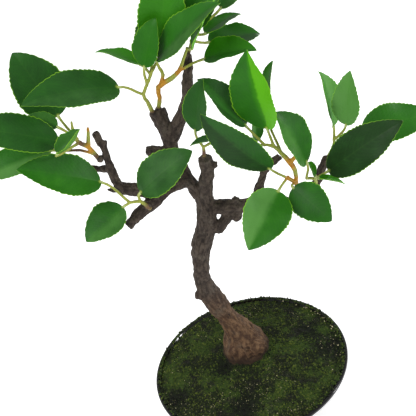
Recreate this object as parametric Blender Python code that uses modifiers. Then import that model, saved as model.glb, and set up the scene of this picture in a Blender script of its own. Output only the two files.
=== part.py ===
"""Small bonsai tree in a shallow round pot.

The trunk is one crooked piece with cut-off limbs. Moulded twigs are pushed into
drilled sockets in the limbs, and each twig's stalks carry separate leaf blades.
The pot holds a turned filler block, and a domed moss layer lies on the block.

Frame: metres, +Z up, origin at the centre of the pot's foot on the surface it
stands on. The tree is drawn in millimetres from the centre of the rim plane.
"""
import math

import bmesh
import bpy
from mathutils import Matrix, Vector

MM = 0.001

# Driving dimensions, in metres.
POT_RIM_RADIUS = 0.075
POT_HEIGHT = 0.045
POT_FOOT_RADIUS = 0.040
POT_WALL = 0.0024
POT_FLOOR = 0.0030
POT_LIP_HEIGHT = 0.0028
TREE_HEIGHT = 0.245          # rim plane to the tip of the highest limb
MOSS_DEPTH = 0.0050          # at the rim
MOSS_CROWN = 0.0035          # how far the middle rises above the edge
MOSS_BELOW_RIM = 0.0012
TRUNK_FOOT_RADIUS = 0.0175
SOCKET_DEPTH = 0.0030
LEAF_THICKNESS = 0.0006
STALK_RADIUS = 0.00088
FIT_GAP = 0.0003             # between pieces that touch
FACET_GAP = 1.6 * FIT_GAP    # round pieces in the bowl: their flats and corners stay clear
POT_EDGE = 0.0006            # bevel on the pot's edges

TURN_STEPS = 64
DRAWN_HEIGHT = 245.0         # highest limb tip in the drawing, in millimetres
TREE_SCALE = TREE_HEIGHT / (DRAWN_HEIGHT * MM)

# Trunk and limbs: (x, y, z, radius) in drawing millimetres from the rim centre.
FOOT_DRAWN = TRUNK_FOOT_RADIUS / (MM * TREE_SCALE)
FOOT_CENTRE = (0, 10)
TRUNK_HOLE_ROOM = 2.0        # the moss stays this far off the trunk's foot
TRUNK_RISE = [(0, 10, 4, FOOT_DRAWN + 1), (-1, 10, 11, FOOT_DRAWN - 0.5), (-2, 10, 18, 13.5),
              (-3, 10, 25, 10.5), (-6, 9, 34, 8.4), (-9, 8, 44, 7.4), (-12, 6, 56, 8.5),
              (-15, 4, 69, 7.8), (-17, 3, 82, 6.3), (-15, 3, 93, 5.9), (-13, 5, 103, 6.7),
              (-9, 6, 112, 7.1), (-4, 6, 122, 7.4), (-1, 5, 134, 7.0), (0, 4, 144, 6.2),
              (2, 2, 152, 5.4), (5, -1, 162, 4.9), (7, -3, 169, 4.8), (7, -5, 178, 4.7)]
LIMBS = {
    "left": [(-2, 5, 145, 5), (-4, 6, 151, 4.8), (-7, 8, 162, 4.6), (-11, 11, 174, 4.8),
             (-12, 14, 184, 5), (-12, 16, 194, 5.4), (-14, 18, 208, 5.5)],
    "upper": [(-11, 14, 186, 4), (-6, 13, 194, 4.5), (-2, 12, 200, 4.4), (5, 9, 211, 4),
              (9, 7, 223, 3.9), (11, 5, 233, 3.3), (14, 4, 242, 2.6)],
    "low_left": [(-4, 5, 154, 4), (-8, 3, 160, 3.8), (-14, 0, 162, 3.7), (-21, -4, 163, 3.6),
                 (-29, -8, 161, 3.9), (-36, -12, 159, 4.6), (-45, -15, 156, 3.5), (-52, -18, 152, 3.3)],
    "far_left": [(-30, -8, 162, 3.5), (-38, -8, 170, 4.6), (-48, -8, 174, 4.2), (-51, -8, 183, 2.9),
                 (-51, -8, 196, 2.6), (-51, -8, 205, 2.8), (-53, -8, 215, 2.5)],
    "back_left": [(-52, -7, 189, 2.3), (-65, 0, 190, 2.2), (-77, 6, 196, 2.2), (-90, 10, 201, 2.3)],
    "splinter": [(-48, -8, 173, 2.4), (-58, -8, 176, 0.8)],
    "round_stub": [(-11, 13, 180, 4), (-20, 9, 185, 3.5), (-27, 6, 188, 3.5)],
    "right": [(2, 4, 137, 5), (14, 2, 135, 5.4), (22, 0, 134, 5.2), (34, -1, 133, 4.8), (45, 0, 130, 4.2),
              (56, 2, 125, 3.7), (65, 4, 124, 3.4), (73, 5, 128, 3.2), (78, 6, 134, 3.2),
              (82, 6, 142, 3.3), (87, 6, 149, 3.0)],
    "right_upright": [(33, -1, 134, 3.6), (36, 1, 141, 3.3), (40, 2, 147, 3.1), (43, 3, 155, 2.8),
                      (44, 5, 168, 2.6)],
    "right_fork": [(42, 3, 152, 2.4), (48, 5, 156, 2.7), (56, 7, 159, 2.6)],
    "brace": [(2, 5, 117, 3.8), (8, 2, 124, 4.0), (15, 1, 131, 3.8)],
}
KNOTS = [(-21, 0, 72, 5), (20, -1, 140, 3.2), (18, 0, 127, 4.4), (-50, -8, 207, 3.1),
         (11, -4, 171, 3.4), (-36, -13, 160, 5.2), (8, -3, 12.5, 7.5), (-9, 1, 12, 7)]

# Twigs: a stem of (x, y, z, radius) whose first point is on the limb, and side shoots.
TWIGS = {
    "twig_far_left": {
        "stem": [(-56, -11, 200, 1.5), (-59, -14, 210, 1.5), (-62, -17, 214, 1.3), (-63, -19, 218, 1.2),
                 (-63, -20, 224, 1.0), (-62, -20, 230, 0.6)],
        "shoots": [[(-59, -14, 209, 1.4), (-56, -15, 218, 1.1), (-55, -15, 222, 0.6)],
                   [(-57, -12, 203, 1.0), (-64, -14, 209, 0.9), (-76, -12, 211, 0.8)]]},
    "twig_low_left": {
        "stem": [(-36, -18, 162, 1.4), (-39, -20, 168, 1.2), (-45, -22, 170, 0.9)],
        "shoots": []},
    "twig_top_left": {
        "stem": [(-17, 13, 210, 1.6), (-18, 9, 219, 1.3), (-19, 6, 225, 1.2), (-13, 3, 234, 0.9),
                 (-9, 1, 240, 0.8)],
        "shoots": []},
    "twig_top_right": {
        "stem": [(-13, 16, 210, 1.5), (-10, 12, 218, 1.4), (-9, 9, 226, 1.7), (0, 3, 231, 1.6),
                 (6, -2, 236, 1.3), (10, -3, 242, 1.0), (14, -3, 248, 0.8)],
        "shoots": [[(-8, 9, 226, 1.3), (-4, 5, 234, 1.2), (-5, 1, 240, 1.0)]]},
    "twig_tip": {
        "stem": [(14, 4, 242, 1.1), (18, 6, 249, 1.0), (21, 9, 254, 0.8)],
        "shoots": []},
    "twig_middle": {
        "stem": [(7, -5, 178, 1.4), (8, -7, 186, 1.0)],
        "shoots": []},
    "twig_right": {
        "stem": [(61, 1, 128, 1.3), (61, -8, 144, 1.3), (61, -12, 155, 1.5), (58, -15, 164, 1.8),
                 (54, -17, 172, 1.4), (50, -19, 179, 1.2), (44, -21, 183, 0.8)],
        "shoots": [[(58, -15, 163, 1.6), (62, -17, 167, 1.3), (66, -18, 167, 0.5)],
                   [(61, -8, 144, 1.5), (55, -13, 152, 1.3)]]},
    "twig_right_low": {
        "stem": [(76, 4, 132, 1.2), (74, -4, 141, 1.2), (68, -8, 145, 1.0)],
        "shoots": []},
    "twig_right_end": {
        "stem": [(87, 5, 149, 1.2), (91, 2, 157, 1.0), (92, 1, 162, 0.8)],
        "shoots": []},
}

# Leaves: twig, where the stalk springs from it, where the blade starts, then heading,
# rise and roll in degrees, blade length and width in millimetres, fold of each half and
# droop of the tip in degrees.
LEAVES = [
    ("twig_far_left", (-63, -19, 219), (-72, 0, 229), 144, 68, -28, 44, 34, 10, 8),
    ("twig_top_left", (-19, 6, 225), (-32, -4, 237), -149, 14, -44, 60, 28, 12, 12),
    ("twig_far_left", (-63, -19, 218), (-73, -24, 222), -166, 31, -44, 48, 26, 12, 8),
    ("twig_far_left", (-76, -12, 211), (-82, -12, 213), -172, -3, -33, 43, 25, 14, 10),
    ("twig_low_left", (-45, -22, 170), (-58, -24, 190), -160, 34, -50, 50, 27, 12, 8),
    ("twig_far_left", (-62, -17, 215), (-73, -34, 219), 0, 33, 25, 19, 19, 36, -30),
    ("twig_far_left", (-63, -19, 219), (-72, -16, 228), 172, 39, -28, 17, 13, 12, 4),
    ("twig_low_left", (-45, -22, 170), (-50, -26, 170), -158, -19, -33, 30, 25, 12, 8),
    ("twig_top_left", (-11, 2, 237), (-16, 6, 244), 166, 29, 0, 27, 20, 14, 10),
    ("twig_top_left", (-15, 4, 231), (-13, 0, 244), -9, 62, 62, 29, 20, 16, 8),
    ("twig_top_left", (-9, 1, 240), (-2, 8, 247), -24, 68, 98, 53, 30, 10, 8),
    ("twig_top_right", (-5, 1, 240), (-4, -4, 247), -27, 31, 40, 52, 25, 14, 8),
    ("twig_tip", (21, 9, 254), (20, 6, 257), -5, 47, 48, 36, 24, 14, 8),
    ("twig_tip", (21, 9, 254), (41, 16, 261), 18, 32, 20, 30, 22, 12, 10),
    ("twig_tip", (20, 8, 252), (28, 10, 250), 23, 8, 4, 26, 20, 12, 10),
    ("twig_tip", (18, 6, 249), (29, 14, 243), 17, -9, 20, 35, 24, 12, 8),
    ("twig_top_right", (6, -2, 236), (23, 0, 238), -15, 0, 18, 31, 27, 18, 12),
    ("twig_top_right", (14, -3, 248), (17, -5, 248), -23, 50, 20, 39, 22, 14, 8),
    ("twig_middle", (8, -7, 186), (6, -12, 201), 0, 69, 40, 32, 21, 14, 8),
    ("twig_right", (44, -21, 183), (36, -12, 195), 153, 56, -10, 40, 27, 14, 8),
    ("twig_middle", (8, -7, 186), (15, -20, 195), 178, 0, 6, 15, 14, 12, 8),
    ("twig_right", (50, -19, 179), (48, -20, 193), -149, 86, -165, 50, 34, 18, 10),
    ("twig_right", (54, -17, 172), (52, -10, 198), 41, 67, -28, 31, 20, 14, 8),
    ("twig_right", (55, -13, 152), (44, -20, 166), -163, 55, -122, 61, 24, 8, 8),
    ("twig_right", (44, -21, 183), (41, -8, 181), 58, 69, 78, 20, 14, 14, 6),
    ("twig_right_low", (68, -8, 145), (68, -17, 162), -163, 71, -56, 42, 30, 14, 10),
    ("twig_right", (55, -13, 152), (46, -22, 149), -137, -26, -36, 43, 32, 14, 12),
    ("twig_right", (61, -8, 144), (57, -18, 146), -52, -35, 42, 32, 25, 14, 12),
    ("twig_right_low", (74, -4, 141), (76, -11, 144), -15, -23, -10, 17, 13, 18, 6),
    ("twig_right_end", (92, 1, 162), (93, 0, 173), 120, 83, 22, 37, 25, 18, 8),
    ("twig_right_end", (92, 1, 162), (100, -5, 174), -36, 79, 80, 36, 20, 12, 8),
    ("twig_right_low", (74, -4, 141), (84, -6, 145), -24, 32, 57, 58, 28, 10, 10),
    ("twig_right_end", (91, 2, 157), (113, 6, 160), 9, -6, 48, 52, 28, 12, 10),
    ("twig_low_left", (-39, -20, 168), (-36, -26, 177), 3, 25, 43, 40, 27, 12, 12),
    ("twig_right_low", (74, -4, 141), (73, -12, 148), -144, 74, -68, 12, 9, 14, 4),
    ("twig_tip", (21, 9, 254), (26, 20, 258), 60, 34, -5, 40, 26, 12, 10),
    ("twig_tip", (20, 8, 252), (12, 16, 262), 118, 38, 8, 38, 25, 12, 10),
    ("twig_top_left", (-13, 3, 234), (-6, 14, 246), 68, 45, -5, 36, 24, 12, 10),
    ("twig_right_end", (91, 2, 157), (101, 12, 150), 38, -20, 5, 40, 24, 12, 12),
]
STALK_SPANS = 5
STALK_BEND = 0.35            # how far a stalk keeps its first and last direction
STALK_SWELL = 1.15           # radius where it leaves the twig, as a share of STALK_RADIUS
STALK_TAPER = 0.25
BLADE_STATIONS = (0.0, 0.08, 0.22, 0.40, 0.58, 0.76, 0.90, 1.0)
BLADE_BASE_WIDTH = 1.8 * MM
BLADE_TIP_WIDTH = 0.9 * MM
BLADE_BASE_ROUND = 0.50      # powers of the blade's outline at its base and its tip
BLADE_TIP_ROUND = 0.66
SMOOTH_BELOW = math.radians(40)


def clear_scene():
    """Take away whatever the scene holds."""
    for old in list(bpy.data.objects):
        bpy.data.objects.remove(old, do_unlink=True)


def make_material(name, colour, roughness):
    """A Principled material with one colour."""
    material = bpy.data.materials.new(name)
    material.use_nodes = True
    shader = material.node_tree.nodes["Principled BSDF"]
    shader.inputs["Base Color"].default_value = (*colour, 1.0)
    shader.inputs["Roughness"].default_value = roughness
    shader.inputs["Metallic"].default_value = 0.0
    return material


def add_object(name, mesh, material=None, parent=None, smooth=True):
    """Link a mesh into the tree's collection."""
    item = bpy.data.objects.new(name, mesh)
    tree_collection.objects.link(item)
    if material:
        mesh.materials.clear()
        mesh.materials.append(material)
    if parent:
        item.parent = parent
    if smooth:
        mesh.shade_smooth()
        mesh.set_sharp_from_angle(angle=SMOOTH_BELOW)
    return item


def turned(name, profile, material):
    """Turn a closed (radius, height) profile, axis to axis, round the Z axis."""
    mesh = bpy.data.meshes.new(name)
    points = [(radius, 0.0, height) for radius, height in profile]
    edges = [(index, index + 1) for index in range(len(points) - 1)]
    mesh.from_pydata(points, edges, [])
    item = bpy.data.objects.new(name, mesh)
    tree_collection.objects.link(item)
    mesh.materials.append(material)
    screw = item.modifiers.new("turn", "SCREW")
    screw.steps = TURN_STEPS
    screw.render_steps = TURN_STEPS
    screw.use_merge_vertices = True
    screw.merge_threshold = 1e-5
    return item


def smooth_route(points, per_span):
    """Catmull-Rom points through (x, y, z, radius) knots."""
    ends = [points[0], *points, points[-1]]
    route = []
    for index in range(1, len(ends) - 2):
        before, start, stop, after = (Vector(ends[index + step]) for step in (-1, 0, 1, 2))
        for step in range(per_span):
            t = step / per_span
            route.append(0.5 * (2 * start + (stop - before) * t
                                + (2 * before - 5 * start + 4 * stop - after) * t * t
                                + (3 * start - before - 3 * stop + after) * t ** 3))
    route.append(Vector(points[-1]))
    return route


def tube(name, route, resolution):
    """A closed tube mesh along a route of (x, y, z, radius) in drawing millimetres."""
    scale = MM * TREE_SCALE
    curve = bpy.data.curves.new(name, "CURVE")
    curve.dimensions = "3D"
    curve.bevel_depth = 1.0
    curve.bevel_resolution = resolution
    curve.use_fill_caps = True
    spline = curve.splines.new("POLY")
    spline.points.add(len(route) - 1)
    for point, knot in zip(spline.points, route):
        point.co = (knot[0] * scale, knot[1] * scale, knot[2] * scale, 1.0)
        point.radius = knot[3] * scale
    guide = bpy.data.objects.new(name + "_guide", curve)
    tree_collection.objects.link(guide)
    graph = bpy.context.evaluated_depsgraph_get()
    mesh = bpy.data.meshes.new_from_object(guide.evaluated_get(graph))
    bpy.data.objects.remove(guide, do_unlink=True)
    shell = bmesh.new()
    shell.from_mesh(mesh)
    bmesh.ops.remove_doubles(shell, verts=shell.verts, dist=1e-6)
    bmesh.ops.recalc_face_normals(shell, faces=shell.faces)
    shell.to_mesh(mesh)
    shell.free()
    return mesh


def knot_ball(centre_and_radius):
    """A coarse ball for a knot in the bark."""
    scale = MM * TREE_SCALE
    x, y, z, radius = (value * scale for value in centre_and_radius)
    shell = bmesh.new()
    bmesh.ops.create_icosphere(shell, subdivisions=1, radius=radius,
                               matrix=Matrix.Translation((x, y, z)))
    mesh = bpy.data.meshes.new("knot")
    shell.to_mesh(mesh)
    shell.free()
    return mesh


def combine(item, mesh, operation, solver="EXACT"):
    """Join a mesh to an object, or cut it away, for good."""
    tool = bpy.data.objects.new("tool", mesh)
    cutter_collection.objects.link(tool)
    tool.hide_render = True
    tool.display_type = "WIRE"
    tool.matrix_world = item.matrix_world
    boolean = item.modifiers.new(operation.lower(), "BOOLEAN")
    boolean.operation = operation
    boolean.solver = solver
    boolean.object = tool
    graph = bpy.context.evaluated_depsgraph_get()
    graph.update()
    result = bpy.data.meshes.new_from_object(item.evaluated_get(graph))
    item.modifiers.clear()
    item.data = result
    bpy.data.objects.remove(tool, do_unlink=True)


def make_pot(material):
    """Flared bowl: lip, straight leaning wall, flat foot."""
    rim = POT_RIM_RADIUS
    foot = POT_FOOT_RADIUS
    edge = POT_EDGE
    lip_foot = POT_HEIGHT - POT_LIP_HEIGHT
    profile = [
        (0.0, POT_FLOOR),
        (foot - POT_WALL, POT_FLOOR),
        (rim - 2.0 * POT_WALL, lip_foot),
        (rim - POT_WALL, POT_HEIGHT - edge),
        (rim - POT_WALL + edge, POT_HEIGHT),
        (rim - edge, POT_HEIGHT),
        (rim, POT_HEIGHT - edge),
        (rim, lip_foot + edge),
        (rim - edge, lip_foot),
        (rim - POT_WALL, lip_foot - edge),
        (foot + edge, 2.0 * edge),
        (foot - edge, 0.0),
        (0.0, 0.0),
    ]
    return turned("pot", profile, material)


def bowl_inside(height, gap):
    """Radius of the bowl's inner wall at a height, less a gap."""
    lip_foot = POT_HEIGHT - POT_LIP_HEIGHT
    low = POT_FOOT_RADIUS - POT_WALL
    high = POT_RIM_RADIUS - 2.0 * POT_WALL
    if height > lip_foot:
        share = min(1.0, (height - lip_foot) / POT_LIP_HEIGHT)
        return high + share * POT_WALL - gap
    share = (height - POT_FLOOR) / (lip_foot - POT_FLOOR)
    return low + share * (high - low) - gap


def make_filler(material):
    """The block that fills the bowl below the moss."""
    bottom = POT_FLOOR + FIT_GAP
    profile = [
        (0.0, filler_top),
        (bowl_inside(filler_top, FACET_GAP), filler_top),
        (bowl_inside(bottom, FACET_GAP), bottom),
        (0.0, bottom),
    ]
    return turned("filler", profile, material)


def make_moss(material):
    """A domed layer on the filler, with a round opening for the trunk's foot."""
    under = filler_top + FIT_GAP
    edge_top = POT_HEIGHT - MOSS_BELOW_RIM
    outer = bowl_inside(edge_top, FACET_GAP)
    lip_foot = POT_HEIGHT - POT_LIP_HEIGHT
    rows = 6
    profile = []
    for row in range(rows + 1):
        share = row / rows
        height = edge_top + MOSS_CROWN * (1.0 - share * share)
        profile.append((outer * share, height))
    profile.append((bowl_inside(lip_foot, FACET_GAP), lip_foot))
    profile.append((bowl_inside(under, FACET_GAP), under))
    profile.append((0.0, under))
    moss = turned("moss", profile, material)
    graph = bpy.context.evaluated_depsgraph_get()
    mesh = bpy.data.meshes.new_from_object(moss.evaluated_get(graph))
    moss.modifiers.clear()
    moss.data = mesh
    scale = MM * TREE_SCALE
    widest = (FOOT_DRAWN + TRUNK_HOLE_ROOM) * scale + FIT_GAP
    centre = (FOOT_CENTRE[0] * scale, FOOT_CENTRE[1] * scale, under)
    hole = bmesh.new()
    bmesh.ops.create_cone(hole, cap_ends=True, segments=40, radius1=widest, radius2=widest,
                          depth=8.0 * MOSS_DEPTH, matrix=Matrix.Translation(centre))
    hole_mesh = bpy.data.meshes.new("trunk_hole")
    hole.to_mesh(hole_mesh)
    hole.free()
    combine(moss, hole_mesh, "DIFFERENCE")
    moss.data.shade_smooth()
    moss.data.set_sharp_from_angle(angle=SMOOTH_BELOW)
    return moss


def make_trunk(material):
    """The trunk with all its limbs, knots and twig sockets, one body."""
    scale = MM * TREE_SCALE
    seat = (filler_top + FIT_GAP - POT_HEIGHT) / scale
    rise = [(*FOOT_CENTRE, seat, FOOT_DRAWN), *TRUNK_RISE]
    trunk = add_object("trunk", tube("trunk", smooth_route(rise, 2), 4), material, planting)
    bpy.context.view_layer.update()
    for name, points in LIMBS.items():
        combine(trunk, tube(name, smooth_route(points, 2), 2), "UNION")
    for knot in KNOTS:
        combine(trunk, knot_ball(knot), "UNION")
    for twig in TWIGS.values():
        root = Vector(twig["stem"][0])
        aim = (Vector(twig["stem"][1][:3]) - root.to_3d()).normalized()
        reach = SOCKET_DEPTH / scale
        gap = FIT_GAP / scale
        bottom = root.to_3d() - aim * (reach + gap)
        mouth = root.to_3d() + aim * 2.5 * reach
        bore = root[3] + 1.5 * gap
        combine(trunk, tube("socket", [(*bottom, bore), (*mouth, bore)], 2), "DIFFERENCE")
    trunk.data.shade_smooth()
    trunk.data.set_sharp_from_angle(angle=SMOOTH_BELOW)
    return trunk


def blade_turn(leaf):
    """Rotation of a blade from its heading, rise and roll."""
    heading, rise, roll = (math.radians(angle) for angle in leaf[3:6])
    return Matrix.Rotation(heading, 3, "Z") @ Matrix.Rotation(-rise, 3, "Y") @ Matrix.Rotation(roll, 3, "X")


def stalk_route(leaf, order):
    """A bent stalk from inside the twig to the blade, meeting the blade end to end.

    Stalks that spring from one place start at different depths in the twig.
    """
    gap = FIT_GAP / (MM * TREE_SCALE)
    along = blade_turn(leaf) @ Vector((1.0, 0.0, 0.0))
    end = Vector(leaf[2]) - along * gap
    start = Vector(leaf[1]) - (end - Vector(leaf[1])).normalized() * gap * (1.0 + 0.9 * order)
    reach = STALK_BEND * (end - start).length
    lead = start + (end - start).normalized() * reach
    follow = end - along * reach
    radius = STALK_RADIUS / (MM * TREE_SCALE)
    route = []
    for step in range(STALK_SPANS + 1):
        t = step / STALK_SPANS
        point = ((1 - t) ** 3 * start + 3 * (1 - t) ** 2 * t * lead
                 + 3 * (1 - t) * t * t * follow + t ** 3 * end)
        route.append((*point, radius * (STALK_SWELL - STALK_TAPER * t)))
    return route


def make_twig(name, twig, material):
    """A moulded twig: stem, shoots and the stalks of its leaves in one body."""
    scale = MM * TREE_SCALE
    stem = list(twig["stem"])
    root = Vector(stem[0][:3])
    aim = (Vector(stem[1][:3]) - root).normalized()
    plug = root - aim * SOCKET_DEPTH / scale
    route = [(*plug, stem[0][3]), *smooth_route(stem, 2)]
    item = add_object(name, tube(name, route, 2), material, planting)
    bpy.context.view_layer.update()
    for shoot in twig["shoots"]:
        combine(item, tube("shoot", smooth_route(shoot, 2), 2), "UNION", "MANIFOLD")
    own_leaves = [leaf for leaf in LEAVES if leaf[0] == name]
    for order, leaf in enumerate(own_leaves):
        combine(item, tube("stalk", stalk_route(leaf, order), 1), "UNION", "MANIFOLD")
    item.data.shade_smooth()
    item.data.set_sharp_from_angle(angle=SMOOTH_BELOW)
    return item


def half_width(share, width):
    """Half the blade's width at a share of its length: round base, pointed tip."""
    start, finish = BLADE_BASE_ROUND, BLADE_TIP_ROUND
    peak = start / (start + finish)
    top = peak ** start * (1.0 - peak) ** finish
    inner = share ** start * (1.0 - share) ** finish / top
    ends = BLADE_BASE_WIDTH + (BLADE_TIP_WIDTH - BLADE_BASE_WIDTH) * share
    return 0.5 * max(width * inner, ends)


def make_blade(name, leaf, material):
    """An arched, folded leaf blade: a shaped grid given its thickness."""
    scale = MM * TREE_SCALE
    length, width = leaf[6] * scale, leaf[7] * scale
    fold, droop = math.radians(leaf[8]), math.radians(leaf[9])
    rows = len(BLADE_STATIONS) - 1
    grid = bmesh.new()
    bmesh.ops.create_grid(grid, x_segments=rows, y_segments=2, size=1.0)
    for vertex in grid.verts:
        station = BLADE_STATIONS[round((vertex.co.x + 1.0) * 0.5 * rows)]
        side = round(vertex.co.y)
        half = half_width(station, width)
        arch = length * math.tan(droop) * station * (1.0 - station)
        vertex.co = (length * station, side * half * math.cos(fold),
                     arch + abs(side) * half * math.sin(fold))
    mesh = bpy.data.meshes.new(name)
    grid.to_mesh(mesh)
    grid.free()
    blade = add_object(name, mesh, material, planting)
    blade.location = Vector(leaf[2]) * scale
    blade.rotation_euler = blade_turn(leaf).to_euler("XYZ")
    shell = blade.modifiers.new("thickness", "SOLIDIFY")
    shell.thickness = LEAF_THICKNESS
    shell.offset = 0.0
    return blade


clear_scene()
tree_collection = bpy.data.collections.new("bonsai_tree")
cutter_collection = bpy.data.collections.new("cutters")
bpy.context.scene.collection.children.link(tree_collection)
bpy.context.scene.collection.children.link(cutter_collection)
planting = bpy.data.objects.new("planting_point", None)
tree_collection.objects.link(planting)
planting.location = (0.0, 0.0, POT_HEIGHT)
bpy.context.view_layer.update()
filler_top = POT_HEIGHT - MOSS_BELOW_RIM - MOSS_DEPTH

make_pot(make_material("black_gloss", (0.010, 0.010, 0.011), 0.12))
make_filler(make_material("filler", (0.05, 0.04, 0.03), 0.9))
make_moss(make_material("moss", (0.03, 0.06, 0.01), 0.85))
make_trunk(make_material("bark", (0.075, 0.05, 0.037), 0.8))
stalk_green = make_material("stalk_green", (0.35, 0.40, 0.10), 0.45)
for twig_name, twig_plan in TWIGS.items():
    make_twig(twig_name, twig_plan, stalk_green)
leaf_green = make_material("leaf_green", (0.03, 0.16, 0.02), 0.4)
for number, leaf_plan in enumerate(LEAVES, start=1):
    make_blade(f"leaf_{number:02d}", leaf_plan, leaf_green)
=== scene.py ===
# %% [markdown]
# # A small bonsai tree in a black pot
# The tree is put together from few kinds of piece: a turned glossy pot, a layer of moss crumbs, one
# crooked trunk with lopped limbs, thin twigs plugged into the limbs, and leaf blades on their stalks.
# The solids of all these are already designed elsewhere. This lesson gives each of them the surface
# and the finish that make it look real, and never moves or resizes a part.

# %% Load the fixed parts
import math
from itertools import product
from types import SimpleNamespace

import bmesh
import bpy
import numpy as np
from mathutils import Matrix, Vector


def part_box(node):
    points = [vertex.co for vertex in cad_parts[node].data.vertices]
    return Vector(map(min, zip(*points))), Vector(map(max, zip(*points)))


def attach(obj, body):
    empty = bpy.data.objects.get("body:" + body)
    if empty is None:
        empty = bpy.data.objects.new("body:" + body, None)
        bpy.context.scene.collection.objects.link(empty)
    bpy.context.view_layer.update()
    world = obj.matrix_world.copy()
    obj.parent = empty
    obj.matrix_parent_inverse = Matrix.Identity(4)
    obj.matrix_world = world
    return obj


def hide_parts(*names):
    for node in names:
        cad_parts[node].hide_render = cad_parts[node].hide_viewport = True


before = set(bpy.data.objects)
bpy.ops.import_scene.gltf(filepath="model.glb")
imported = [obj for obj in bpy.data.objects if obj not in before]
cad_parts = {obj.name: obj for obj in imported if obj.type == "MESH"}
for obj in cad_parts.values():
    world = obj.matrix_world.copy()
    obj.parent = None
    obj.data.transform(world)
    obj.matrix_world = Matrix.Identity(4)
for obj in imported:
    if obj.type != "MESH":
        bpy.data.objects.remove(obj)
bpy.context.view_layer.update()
MM = 0.001

# %% [markdown]
# ## Camera
# The tree is seen from in front and well above, with the camera tipped to one side, so the whole
# plant leans in the picture. A camera is placed by three unit vectors: where it looks, its right and
# its up. Turning right and up about the line of sight gives the tilt, which Euler angles would hide.
# The plain screen curve keeps each finish at the colour that was mixed for it.

# %% Place the camera
RIM_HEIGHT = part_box("pot")[1].z
CAMERA_DISTANCE = 0.525
CAMERA_RISE = math.radians(42.66)
CAMERA_TILT = math.radians(-15.61)
CAMERA_VIEW = math.radians(35.0)
LOOK_AT = Vector((0.0009, 0.2478, RIM_HEIGHT))

camera_data = bpy.data.cameras.new("camera")
camera_data.sensor_width = 36.0
camera_data.lens = 0.5 * camera_data.sensor_width / math.tan(0.5 * CAMERA_VIEW)
camera_data.clip_start = 0.01
camera = bpy.data.objects.new("camera", camera_data)
bpy.context.scene.collection.objects.link(camera)
eye = Vector((0.0, -CAMERA_DISTANCE * math.cos(CAMERA_RISE),
              RIM_HEIGHT + CAMERA_DISTANCE * math.sin(CAMERA_RISE)))
sight = (LOOK_AT - eye).normalized()
level_right = sight.cross(Vector((0.0, 0.0, 1.0))).normalized()
level_up = level_right.cross(sight)
right = math.cos(CAMERA_TILT) * level_right + math.sin(CAMERA_TILT) * level_up
up = right.cross(sight)
turn = Matrix((right, up, -sight)).transposed().to_4x4()
camera.matrix_world = Matrix.Translation(eye) @ turn
bpy.context.scene.camera = camera
bpy.context.scene.view_settings.view_transform = "Standard"
print("camera at", [round(x, 3) for x in eye], "lens", round(camera_data.lens, 1), "mm")

# %% [markdown]
# ## Shader maths as plain expressions
# A material is a small program made of nodes. Written node by node it is long and hard to read, so one
# class wraps a socket and lets + - * ** build the Math nodes. The reflected forms let a plain number
# stand first, as in 1 - mask.

# %% A socket that can be used in sums


class Flow:
    """A value on its way through a material."""

    def __init__(self, recipe, link):
        self.recipe = recipe
        self.link = link

    def math(self, operation, other=0.0, swapped=False):
        """One Math node on this value and another, or on the other first."""
        first, second = (other, self) if swapped else (self, other)
        return self.recipe.add("ShaderNodeMath", {"operation": operation}, {0: first, 1: second})

    def __add__(self, other):
        return self.math("ADD", other)

    def __sub__(self, other):
        return self.math("SUBTRACT", other)

    def __mul__(self, other):
        return self.math("MULTIPLY", other)

    def __pow__(self, other):
        return self.math("POWER", other)

    def __radd__(self, other):
        return self.math("ADD", other, swapped=True)

    def __rsub__(self, other):
        return self.math("SUBTRACT", other, swapped=True)

    def __rmul__(self, other):
        return self.math("MULTIPLY", other, swapped=True)

    def __abs__(self):
        return self.math("ABSOLUTE")


print("a socket works with + - * ** and abs")

# %% [markdown]
# ## One recipe for each material
# One method adds any node from its type, its settings and its sockets, and the few nodes used often
# have a short method that calls it. What is the same all over a surface is served as a plain value.

# %% A recipe that adds nodes


class Recipe:
    """One material: nodes go in with `add`, and `serve` sets the shader's own sockets."""

    def __init__(self, name):
        self.material = bpy.data.materials.new(name)
        self.material.use_nodes = True
        self.tree = self.material.node_tree
        self.shader = self.tree.nodes["Principled BSDF"]

    def feed(self, socket, value):
        """Link a socket to a Flow, or set it to a plain value."""
        if isinstance(value, Flow):
            self.tree.links.new(value.link, socket)
        else:
            socket.default_value = value

    def add(self, kind, settings=None, sockets=None, out=0):
        """Any node: its settings first, then its sockets. The result is one of its outputs."""
        node = self.tree.nodes.new(kind)
        for key, value in (settings or {}).items():
            setattr(node, key, value)
        for key, value in (sockets or {}).items():
            self.feed(node.inputs[key], value)
        return Flow(self, node.outputs[out])

    def place(self):
        """Object coordinates, in metres from the pot's middle on the ground."""
        return self.add("ShaderNodeTexCoord", out="Object")

    def attribute(self, name):
        """A number painted on the points."""
        return self.add("ShaderNodeAttribute", {"attribute_name": name}, out="Fac")

    def noise(self, size, detail=3.0, roughness=0.55):
        """Noise from 0 to 1 whose lumps are about `size` metres wide."""
        sockets = {"Vector": self.place(), "Scale": 1.0 / size, "Detail": detail, "Roughness": roughness}
        return self.add("ShaderNodeTexNoise", sockets=sockets)

    def ease(self, value, low, high):
        """0 below `low`, 1 above `high`, and a smooth step between."""
        return self.add("ShaderNodeMapRange", {"interpolation_type": "SMOOTHSTEP"},
                        {0: value, 1: low, 2: high})

    def mix(self, share, first, second):
        """The first colour where share is 0, and the second where it is 1."""
        return self.add("ShaderNodeMix", {"data_type": "RGBA"}, {0: share, 6: first, 7: second}, out=2)

    def bump(self, height, depth):
        """A Normal from a height of 0 to 1 that stands for `depth` metres."""
        return self.add("ShaderNodeBump", sockets={"Height": height, "Distance": depth})

    def serve(self, **values):
        """Feed the shader's own sockets, whose names are written with _ for a space."""
        for key, value in values.items():
            self.feed(self.shader.inputs[key.replace("_", " ")], value)
        return self.material


print("a recipe can:", [name for name in vars(Recipe) if not name.startswith("_")])

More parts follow.
